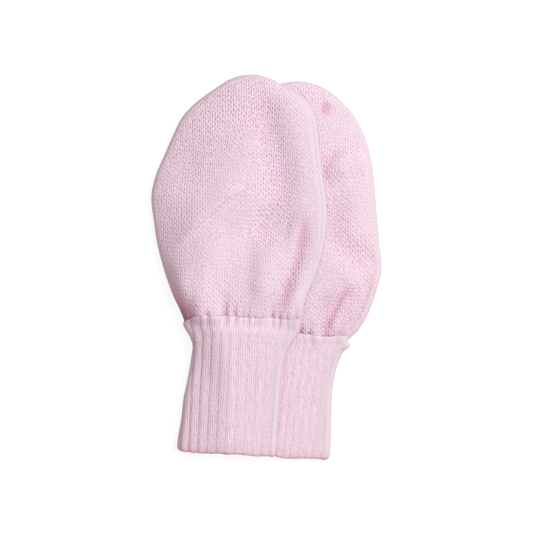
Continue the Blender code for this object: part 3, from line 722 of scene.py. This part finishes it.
def knit_material(name, bridged, streak, stitch_shade, fold_shade):
    """Brushed cotton knit: pale on the yarn, painted shade as deeper pink in the holes and folds, a
    painted shadow where the depth is over 1, greyer raised nap that is partly painted shade, and
    painted shade on steep sides. Its unevenness is drawn out along the wales by the streak, which
    is 1 for none.
    """
    material = bpy.data.materials.new(name)
    material.use_nodes = True
    nodes, links = material.node_tree.nodes, material.node_tree.links
    shader = nodes["Principled BSDF"]
    for socket, value in FINISH:
        shader.inputs[socket].default_value = value
    stitches, place = nodes.new("ShaderNodeUVMap"), nodes.new("ShaderNodeTexCoord")
    stitches.uv_map = "stitches"
    yarn = nodes.new("ShaderNodeGroup")
    yarn.node_tree = YARN
    links.new(stitches.outputs["UV"], yarn.inputs["Stitches"])
    spread = nodes.new("ShaderNodeVectorMath")
    spread.operation = "MULTIPLY"
    spread.inputs[1].default_value = (1.0, 1.0 / streak, 1.0)
    links.new(place.outputs["Object"], spread.inputs[0])
    links.new(spread.outputs["Vector"], yarn.inputs["Place"])
    yarn.inputs["Bridged"].default_value = bridged
    depth, nap, steep = (nodes.new("ShaderNodeAttribute") for _ in range(3))
    depth.attribute_name, nap.attribute_name, steep.attribute_name = "depth", "nap", "steep"
    links.new(nap.outputs["Fac"], yarn.inputs["Nap"])

    def scaled(value, low, high, start=0.0):
        """The value from start to start plus 1, mapped evenly to low and high and kept there."""
        node = nodes.new("ShaderNodeMapRange")
        links.new(value, node.inputs["Value"])
        node.inputs["From Min"].default_value = start
        node.inputs["From Max"].default_value = start + 1.0
        node.inputs["To Min"].default_value = low
        node.inputs["To Max"].default_value = high
        return node.outputs["Result"]

    def mixed(factor, first, second):
        """A colour between the first and the second."""
        node = nodes.new("ShaderNodeMix")
        node.data_type = "RGBA"
        links.new(factor, node.inputs["Factor"])
        for socket, colour in ((node.inputs["A"], first), (node.inputs["B"], second)):
            if isinstance(colour, tuple):
                socket.default_value = colour
            else:
                links.new(colour, socket)
        return node.outputs["Result"]

    cloth = mixed(scaled(yarn.outputs["Mottle"], *MOTTLE_RANGE), PALE_PINK, GREYER)
    # painted shade: the stitch holes are deeper pink
    cloth = mixed(scaled(yarn.outputs["On yarn"], stitch_shade, 0.0), cloth, SHADE_PINK)
    # the raised nap is greyer: partly painted shade
    cloth = mixed(scaled(nap.outputs["Fac"], 0.0, NAP_AND_SHADE_SHARE), cloth, NAP_AND_SHADE)
    # painted shade: steep sides are greyer and darker
    cloth = mixed(scaled(steep.outputs["Fac"], *STEEP_SHADE_RANGE), cloth, STEEP_SHADE)
    # painted shade: the folds are deeper pink
    cloth = mixed(scaled(depth.outputs["Fac"], 0.0, fold_shade), cloth, SHADE_PINK)
    # painted shadow where the depth is over 1
    cloth = mixed(scaled(depth.outputs["Fac"], 0.0, LEFT_SHADOW_SHARE, start=1.0), cloth, LEFT_SHADOW)
    links.new(cloth, shader.inputs["Base Color"])
    bump = nodes.new("ShaderNodeBump")
    bump.inputs["Distance"].default_value = BUMP_HEIGHT * MM
    bump.inputs["Strength"].default_value = 0.5
    links.new(yarn.outputs["Height"], bump.inputs["Height"])
    links.new(bump.outputs["Normal"], shader.inputs["Normal"])
    return material


JERSEY = knit_material(
    "pink_jersey", bridged=JERSEY_BRIDGED, streak=1.15, stitch_shade=0.45, fold_shade=0.8
)


def stitch_places(plan, edge, nearest, seed):
    """Stitch coordinates of a panel: its plan, stretched outwards over the rolled edge by the
    length that the roll adds, counted in wales and courses, and slightly uneven.
    """
    over = EDGE_ROLL * np.arccos(1.0 - np.clip(edge / EDGE_ROLL, 0.0, 1.0))
    added = EDGE_ROLL * (math.pi / 2 - 1.0) - (over - np.clip(edge, 0.0, EDGE_ROLL))
    outward = (nearest - plan) / np.maximum(edge, 1e-6)[:, None]
    cloth = plan + outward * added[:, None]
    wales, courses = cloth[:, 0] / WALE, cloth[:, 1] / COURSE
    shifted = wales + UNEVEN_ACROSS * uneven(wales, courses, seed)
    return np.column_stack([shifted, courses + uneven(wales, courses, seed + 1)])


def nap_and_rim_shade(mitten, edge, from_left, dips):
    """How much the nap of a back is raised: most along the right rim, then by the right edge, and a
    little on what stands up, further in from the left. It hides stitches, and its greyer colour is
    partly painted shade on the right side, which faces the light.
    """
    on_right = smooth_step((from_left - edge) / NAP_SIDES)
    by_edge = on_right * smooth_step((NAP_REACH - edge) / NAP_BLEND) * mitten.nap
    on_rim = RIM_HIDES * on_right * smooth_step((RIM_NAP - edge) / RIM_BLEND)
    on_top = NAP_ON_TOP * smooth_step(from_left / NAP_TOP_RISE) * (1.0 - np.clip(dips, 0.0, 1.0))
    return np.maximum(np.maximum(by_edge, on_rim), on_top)


def inner_face(mitten, plan, chain, left_chain):
    """Plan and points of a back's inner face: the outline drawn in by the wall, and the hollow."""
    away, nearest, _ = nearest_on(plan, chain)
    on_edge = away < 1e-3
    inward = np.where(on_edge[:, None], np.array(HAND_MIDDLE) - plan, plan - nearest)
    inward /= np.linalg.norm(inward, axis=1, keepdims=True)
    plan = plan + inward * (PANEL * np.clip(1.0 - away / INNER_TAPER, 0.0, 1.0))[:, None]
    away, from_left = nearest_on(plan, chain)[0], nearest_on(plan, left_chain)[0]
    height = hollow_height(mitten, plan, away, from_left)[0] + PALM + SEAM_GAP - INNER_DROP
    return plan, np.column_stack([on_floor(mitten, plan), height])


def hand_back(mitten, seed):
    """Points, faces, stitches, depth and nap of a back. Its outer face turns down to the cuff seam,
    and the stitches stand on it. Its inner face is plain.
    """
    rows, columns, coarse = 349, 265, 6
    plan = hand_plan(mitten, rows, columns)
    outline = plan[::OUTLINE_STEP, ::OUTLINE_STEP]
    chain, left_chain = hand_chain(outline), left_side_chain(outline)
    flat = plan.reshape(-1, 2)
    edge, nearest, _ = nearest_on(flat, chain)
    from_left = nearest_on(flat, left_chain)[0]
    height, dips = outer_height(mitten, flat, edge, from_left)
    seam_roll = 1.0 - rounded(flat[:, 1] / SEAM_ROLL)
    height = height - SEAM_DROP * seam_roll * smooth_step(edge / SEAM_DROP_REACH)
    surface = np.column_stack([on_floor(mitten, flat), height]).reshape(rows, columns, 3)
    stitches = stitch_places(flat, edge, nearest, seed)
    # a painted shadow at the left edge beside the cuff, kept as depth over 1 on top of the painted
    # shade
    low = smooth_step(1.0 - flat[:, 1] / LEFT_SHADOW_REACH)
    painted_shadow = low * smooth_step(1.0 - from_left / (LEFT_SHADOW_LEAST + LEFT_SHADOW_GROWS * low))
    depth = np.clip(painted_fold_shade(mitten, flat, from_left), 0.0, 1.0) + painted_shadow
    nap = nap_and_rim_shade(mitten, edge, from_left, dips)
    unlike = 1.0 + RELIEF_SPREAD * drawn(*stitches.T, seed + 2)
    strength = STITCH_RELIEF * unlike * (1.0 - NAP_HIDES * nap)
    strength = strength * (RELIEF_ON_TOP + RELIEF_IN_FOLDS * np.clip(dips, 0.0, 1.0))
    at_edge = RELIEF_AT_EDGE + (1.0 - RELIEF_AT_EDGE) * smooth_step(edge / RELIEF_EDGE_REACH)
    relief = strength * (jersey(*stitches.T, JERSEY_BRIDGED) - RELIEF_LEVEL) * at_edge
    outer = surface + grid_normals(surface) * relief.reshape(rows, columns, 1)

    inner_plan = plan[::coarse, ::coarse].reshape(-1, 2)
    inner_plan, inner = inner_face(mitten, inner_plan, chain, left_chain)
    faces = panel_faces(rows, columns, coarse, turned=False)
    points = np.vstack([outer.reshape(-1, 3), inner])
    stitches = np.vstack([stitches, inner_plan / [WALE, COURSE]])
    plain = np.zeros(len(inner))
    return points, faces, stitches, np.append(depth, plain), np.append(nap, plain)


for mitten, seed in ((UPPER, 3), (LOWER, 19)):
    back = add_cloth(f"{mitten.name}_back_knit", *hand_back(mitten, seed), JERSEY)
    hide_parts(f"{mitten.name}_hand_back")

# ------------ palms
# A palm is the same jersey panel on the underside. It lies flat on the floor, and the upper one
# climbs onto the other mitten. It has the same stitches, and softer gathers at the cuff.

PALM_PLEATS = 0.45  # share of the back's gathers that the palm has
PALM_PLEAT_MOST = 0.8
PALM_PLAIN_EDGE = 2.0  # how far in from the edge the palm stays without pleats
PALM_PLEAT_BLEND = 3.0
PALM_RELIEF = 0.24
TOP_INSET = 0.006  # how much smaller the palm's top is, as a share
TOP_DROP = 0.02


def hand_palm(mitten, seed):
    """Points, faces, stitches, depth and nap of a palm: an underside on what it lies on that rolls
    up to the edge line as a quarter circle, its pleats and stitches pressed in, and a plain top.
    """
    rows, columns, coarse = 193, 145, 6
    plan = hand_plan(mitten, rows, columns)
    chain = hand_chain(plan[::OUTLINE_STEP, ::OUTLINE_STEP])
    flat = plan.reshape(-1, 2)
    edge, nearest, _ = nearest_on(flat, chain)
    rest = rest_parts(mitten, on_floor(mitten, flat))[0]
    dips = sum(gather_depth(gather, flat * [-1.0, 1.0]) for gather in mitten.gathers)
    dips = np.clip(PALM_PLEATS * dips, 0.0, PALM_PLEAT_MOST)
    dips = dips * smooth_step((edge - PALM_PLAIN_EDGE) / PALM_PLEAT_BLEND)
    height = rest + dips + EDGE * (1.0 - rounded(edge / EDGE))
    surface = np.column_stack([on_floor(mitten, flat), height]).reshape(rows, columns, 3)
    stitches = stitch_places(flat, edge, nearest, seed)
    pressed = PALM_RELIEF * (jersey(*stitches.T, JERSEY_BRIDGED) - 1.0)
    under = surface - grid_normals(surface) * pressed.reshape(rows, columns, 1)

    top_plan = plan[::coarse, ::coarse].reshape(-1, 2)
    top_plan = top_plan + (np.array(HAND_MIDDLE) - top_plan) * TOP_INSET
    floor = on_floor(mitten, top_plan)
    top = np.column_stack([floor, rest_parts(mitten, floor)[0] + EDGE - TOP_DROP])
    faces = panel_faces(rows, columns, coarse, turned=True)
    points = np.vstack([under.reshape(-1, 3), top])
    # the pleats' depth, which the material paints as shade
    depth = np.append(np.clip(dips, 0.0, 1.0), np.zeros(len(top)))
    return points, faces, np.vstack([stitches, top_plan / [WALE, COURSE]]), depth, 0.0 * depth


for mitten, seed in ((UPPER, 26), (LOWER, 42)):
    palm = add_cloth(f"{mitten.name}_palm_knit", *hand_palm(mitten, seed), JERSEY)
    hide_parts(f"{mitten.name}_hand_palm")

# ------------ cuffs
# A cuff is a tube of two by two rib, folded double so that its mouth is a soft fold. Both raw edges
# are caught in the seam, which flares and stands up in a small scallop at each rib.

CUFF_ROUND = 2.4  # radius of the side folds, half the height
CUFF_WALL = 2.1  # two layers of rib
CUFF_COURSE = 1.45
CUFF_START = -0.5  # where both layers of the rib meet the raw edge
CUFF_AROUND = 264  # points round a ring
OUTER_RINGS = 158
INNER_RINGS = 40
MOUTH_RINGS = 9
LIP_RINGS = 4
LIP_INSET = 0.35  # how far the raw edge is drawn in
LIP_BACK = ((-0.1, 1.7), (0.2, 1.2))  # along and inset of the rings behind it
LIP_OVER = 0.35  # how much it stays over the hand
LIP_RISE = 3.5  # length over which the cuff rises to it
LIP_PUFF = (0.5, 2.0)  # height and length of the roll beside it
LIP_PUFF_PLACE = 0.6

RIBS = 24
RIB_DEPTH = 0.5
RIB_POWER = 0.3  # the smaller, the flatter the ribs and the narrower the valleys
FLARE_SPREAD = 0.07
FLARE_REACH = 6.0
DRAWN_RIGHT = 0.2  # depth of the valleys in the stretched right part, as a share
DRAWN_REACH = 12.0
RIB_RELIEF = 0.12
RIB_BRIDGED = 0.6
WALE_SHIFT = 0.25
INSIDE_FROM = 1.5  # inset from which a ring is on the inside
INSIDE_DEPTH = 0.45
INSIDE_SHADE = 0.6

SCALLOP = (0.25, 1.2)  # size and reach of what a rib stands up at the seam
SCALLOP_INSET = 2.0
FRAYED = (0.35, 1.5, 0.5)  # the raw edge's unevenness: size, reach and draws for a rib
WAVY = (0.3, 3.0, 0.4)  # the same for the mouth
SHORT = (0.8, 4.0)  # how much shorter the left side is, and how far in
# Painted shade in the rib valleys, as deeper pink.
VALLEY_SHADE = 1.5
MOUTH_SHADE = 2.5  # how far from the folded mouth the painted shade reaches
MOUTH_RIDGE_SHADE = 0.3  # share of that painted shade on top of a rib
# Raised nap on the cuff's right side hides stitches; its greyer colour is partly painted shade.
CUFF_NAP = 0.5
CUFF_RIM_NAP = 3.6


def cuff_rings(mitten, alongs, insets, count):
    """Rings of a flattened tube: straight runs above and below, and half circles at the sides.

    A point goes by its length round the ring, and insets draw the rings in from the outer face.
    Returns across, height, the length round the ring at each point and in all, the distance from
    the cuff's left edge, and how much a point belongs to the upper side.
    """
    inner_end = mitten.cuff[0].along
    _, left, right, _ = rows_at(mitten.cuff, np.clip(alongs, inner_end, 0.0)).T[:, :, None]
    straight = right - left - 2 * CUFF_ROUND
    quarter = CUFF_ROUND * math.pi / 2
    around = np.linspace(0.0, 1.0, count, endpoint=False) * (2 * straight + 4 * quarter)
    radius = CUFF_ROUND - insets[:, None]
    up = np.clip(around / CUFF_ROUND, 0.0, math.pi / 2)
    over = np.clip(around - quarter, 0.0, straight)
    down = np.clip((around - quarter - straight) / CUFF_ROUND, 0.0, math.pi)
    back = np.clip(around - 3 * quarter - straight, 0.0, straight)
    close = np.clip((around - 3 * quarter - 2 * straight) / CUFF_ROUND, 0.0, math.pi / 2)
    across = left + CUFF_ROUND + over - back
    across = across + radius * (np.sin(down) - np.cos(up) - np.sin(close))
    height = CUFF_ROUND + radius * (np.sin(up) - 1.0 + np.cos(down) + 1.0 - np.cos(close))
    above = smooth_step((height - CUFF_ROUND) / radius)
    return across, height, around, 2 * straight + 4 * quarter, across - left, above


def hand_height(mitten, plan):
    """Height of a back's surface at points beside the seam, and 0 outside its outline."""
    outline = hand_plan(mitten, *OUTLINE_GRID)
    chain = hand_chain(outline)
    edge = np.where(depth_inside(plan, chain) > 0.0, nearest_on(plan, chain)[0], 0.0)
    from_left = nearest_on(plan, left_side_chain(outline))[0]
    return outer_height(mitten, plan, edge, from_left)[0] * (edge > 0.0)


def rib_count(mitten, along, around, girth):
    """Ribs counted round a ring. On the upper side they are evenly wide and lean a little, and are
    wider where the cuff flares. The underside takes the rest of them, so that the ring closes.
    """
    left = rows_at(mitten.cuff, np.clip(along[:, 0], mitten.cuff[0].along, 0.0))[:, 1:2]
    width = mitten.rib_width * (1.0 + FLARE_SPREAD * smooth_step(1.0 + along / FLARE_REACH))
    unrolled = left + CUFF_ROUND * (1.0 - math.pi / 2)
    start = (unrolled - mitten.rib_place - mitten.rib_lean * along) / width
    upper = start + around / width
    half = girth / 2
    lower = start + half / width + (around / half - 1.0) * (RIBS - half / width)
    return np.where(around < half, upper, lower)


def cuff_profile(mitten):
    """Along and inset of a cuff's rings: behind the raw edge and over it, along the outer layer,
    round the folded mouth, and back along the inner layer.
    """
    turn = CUFF_WALL / 2
    fold_start = mitten.cuff[0].along + turn
    lip_angle = np.linspace(0.0, math.pi / 2, LIP_RINGS + 1)[:0:-1]
    lip = CUFF_START + (mitten.lip - CUFF_START) * np.sin(lip_angle)
    outer = np.linspace(CUFF_START, fold_start, OUTER_RINGS)
    angle = np.linspace(0.0, math.pi, MOUTH_RINGS + 2)[1:-1]
    fold = fold_start - turn * np.sin(angle)
    inner = np.linspace(fold_start, CUFF_START, INNER_RINGS)
    behind, behind_insets = np.transpose(LIP_BACK)
    lip_insets = LIP_INSET * (1.0 - np.cos(lip_angle))
    fold_insets = turn * (1.0 - np.cos(angle))
    inner_insets = np.full(INNER_RINGS, CUFF_WALL)
    alongs = np.concatenate([behind, lip, outer, fold, inner])
    insets = [behind_insets, lip_insets, np.zeros(OUTER_RINGS), fold_insets, inner_insets]
    return alongs, np.concatenate(insets)


def cuff_shifts(mitten, alongs, insets, across, from_left, rib, ridge, seed):
    """How far each point of a cuff is moved along it: the mouth slants and is wavy, the left side
    is shorter, and the raw edge is scalloped and frayed.
    """
    mouth = mitten.cuff[0].along
    share = (across - across.min(axis=1, keepdims=True)) / np.ptp(across, axis=1, keepdims=True)
    slant = mitten.mouth_lift * (1 - smooth_step(2 * share)) * (alongs / mouth)[:, None]
    at_seam = bell(alongs, SCALLOP[1])[:, None] * (insets < SCALLOP_INSET)[:, None]
    scallop = SCALLOP[0] * (1.0 - ridge) * at_seam
    uneven_edges = []
    for (size, reach, draws), place, draw in ((FRAYED, mitten.lip, seed), (WAVY, mouth, seed + 5)):
        by_rib = size * drawn(draws * rib, 0.0 * rib, draw)
        uneven_edges.append(by_rib * bell(alongs - place, reach)[:, None])
    short = SHORT[0] * bell(from_left, SHORT[1]) * np.clip(alongs - CUFF_START, 0.0, None)[:, None]
    return slant - scallop + sum(uneven_edges) - short


def cuff_cloth(mitten, seed):
    """Points, faces, stitches, depth and nap of a cuff. Its ribs are a rounded sine with narrow
    valleys, two wales wide. It drapes over what it rests on; its raw edge rides over the hand.
    """
    alongs, insets = cuff_profile(mitten)
    rings = cuff_rings(mitten, alongs, insets, CUFF_AROUND)
    across, height, around, girth, from_left, above = rings
    rib = rib_count(mitten, alongs[:, None], around, girth)
    ridge = np.abs(np.sin(math.pi * rib)) ** RIB_POWER
    steps = np.hypot(np.diff(alongs, prepend=alongs[0]), np.diff(insets, prepend=insets[0]))
    wales, courses = 2.0 * rib, np.cumsum(steps)[:, None] / CUFF_COURSE + 0.0 * rib
    wales = wales + WALE_SHIFT * uneven(wales, courses, seed + 1)
    courses = courses + uneven(wales, courses, seed)
    unlike = 1.0 + RELIEF_SPREAD * drawn(wales, courses, seed)
    relief = RIB_RELIEF * (jersey(wales, courses, RIB_BRIDGED) - 1.0) * unlike
    shallow = np.where(insets > INSIDE_FROM, INSIDE_DEPTH, 1.0)[:, None]
    drawn_in = DRAWN_RIGHT + (1.0 - DRAWN_RIGHT) * bell(from_left, DRAWN_REACH)
    valley = (1.0 - ridge) * drawn_in
    into = -shallow * (RIB_DEPTH * valley - relief)

    shifts = cuff_shifts(mitten, alongs, insets, across, from_left, rib, ridge, seed)
    along = alongs[:, None] + shifts - SEAM_GAP / 2
    puff = bell(alongs - LIP_PUFF_PLACE * mitten.lip, LIP_PUFF[1])[:, None]
    height = height + LIP_PUFF[0] * above * puff
    floor = on_floor(mitten, np.stack([across, along], axis=-1))
    rest = rest_parts(mitten, floor.reshape(-1, 2))
    drape = drape_height(mitten, rest, from_left.ravel(), CUFF_DRAPE)
    height = height + (rest[0] + above.ravel() * drape).reshape(height.shape)
    lip_ring = int(np.argmin(np.abs(alongs - mitten.lip)))
    lip_plan = np.column_stack([across[lip_ring], np.full(across.shape[1], mitten.lip)])
    lift = np.maximum(hand_height(mitten, lip_plan) + LIP_OVER - height[lip_ring], 0.0)
    height = height + above * lift * bell(alongs - mitten.lip, LIP_RISE)[:, None]
    surface = np.dstack([floor, height])
    cloth = surface - grid_normals(surface, wraps=True) * into[..., None]
    cloth[..., 2] = np.maximum(cloth[..., 2], 0.0)

    faces = grid_quads(*across.shape, wraps=True, turned=True)
    # painted shade: deeper pink in the rib valleys, less on the inner layer, and by the folded
    # mouth
    inside_shade = np.where(insets > INSIDE_FROM, INSIDE_SHADE, 1.0)[:, None]
    depth = np.clip(VALLEY_SHADE * valley, 0.0, 1.0) * inside_shade
    at_mouth = bell(alongs - mitten.cuff[0].along, MOUTH_SHADE)[:, None]
    at_mouth = at_mouth * (MOUTH_RIDGE_SHADE + (1.0 - MOUTH_RIDGE_SHADE) * (1.0 - ridge))
    depth = np.clip(depth + at_mouth, 0.0, 1.0)
    stitches = np.stack([wales, courses], axis=-1).reshape(-1, 2)
    # raised nap on the right rim, whose greyer colour is partly painted shade
    from_right = np.ptp(across, axis=1, keepdims=True) - from_left
    nap = CUFF_NAP * smooth_step((NAP_REACH - from_right) / NAP_BLEND)
    nap = np.maximum(nap, smooth_step((CUFF_RIM_NAP - from_right) / RIM_BLEND)) * above
    return cloth.reshape(-1, 3), faces, stitches, depth.ravel(), nap.ravel()


RIB = knit_material("pink_rib", bridged=0.55, streak=3.0, stitch_shade=0.24, fold_shade=0.7)

for mitten, seed in ((UPPER, 7), (LOWER, 31)):
    cuff = add_cloth(f"{mitten.name}_cuff_rib", *cuff_cloth(mitten, seed), RIB)
    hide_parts(f"{mitten.name}_cuff")

# ------------ floor, light and camera
# A plain white table under a large soft light from the right, with white all round, seen straight
# from above through a long lens.

TABLE_REACH = 1.5  # metres from its middle to a side

floor_mesh = bpy.data.meshes.new("table_top")
corners = [
    (TABLE_REACH * x, TABLE_REACH * y, 0.0) for x, y in ((-1, -1), (1, -1), (1, 1), (-1, 1))
]
floor_mesh.from_pydata(corners, [], [(0, 1, 2, 3)])
floor = bpy.data.objects.new("table_top", floor_mesh)
bpy.context.scene.collection.objects.link(floor)
white = bpy.data.materials.new("white_table")
white.use_nodes = True
top = white.node_tree.nodes["Principled BSDF"]
top.inputs["Base Color"].default_value = (0.2, 0.2, 0.2, 1.0)
top.inputs["Roughness"].default_value = 0.8
top.inputs["Emission Color"].default_value = (1.0, 1.0, 1.0, 1.0)
top.inputs["Emission Strength"].default_value = 0.83
floor_mesh.materials.append(white)

world = bpy.data.worlds.new("white_room")
world.use_nodes = True
sky = world.node_tree.nodes["Background"]
sky.inputs["Color"].default_value = (1.0, 0.896, 0.934, 1.0)
sky.inputs["Strength"].default_value = 0.53
bpy.context.scene.world = world

KEY_PLACE = np.array([1.31, 0.67, 1.63])
key = bpy.data.lights.new("key_light", "AREA")
key.size = 1.4
key.energy = 47.9
key.color = (0.915, 1.0, 0.97)
lamp = bpy.data.objects.new("key_light", key)
lamp.location = KEY_PLACE
tilt = math.acos(KEY_PLACE[2] / np.linalg.norm(KEY_PLACE))
lamp.rotation_euler = (tilt, 0.0, math.atan2(KEY_PLACE[1], KEY_PLACE[0]) + math.pi / 2)
bpy.context.scene.collection.objects.link(lamp)

lens = bpy.data.cameras.new("camera")
lens.lens = 135.0
lens.sensor_width = 36.0
camera = bpy.data.objects.new("camera", lens)
camera.location = (0.0, 0.37 * MM, 0.736)
bpy.context.scene.collection.objects.link(camera)
bpy.context.scene.camera = camera
bpy.context.scene.view_settings.view_transform = "Standard"
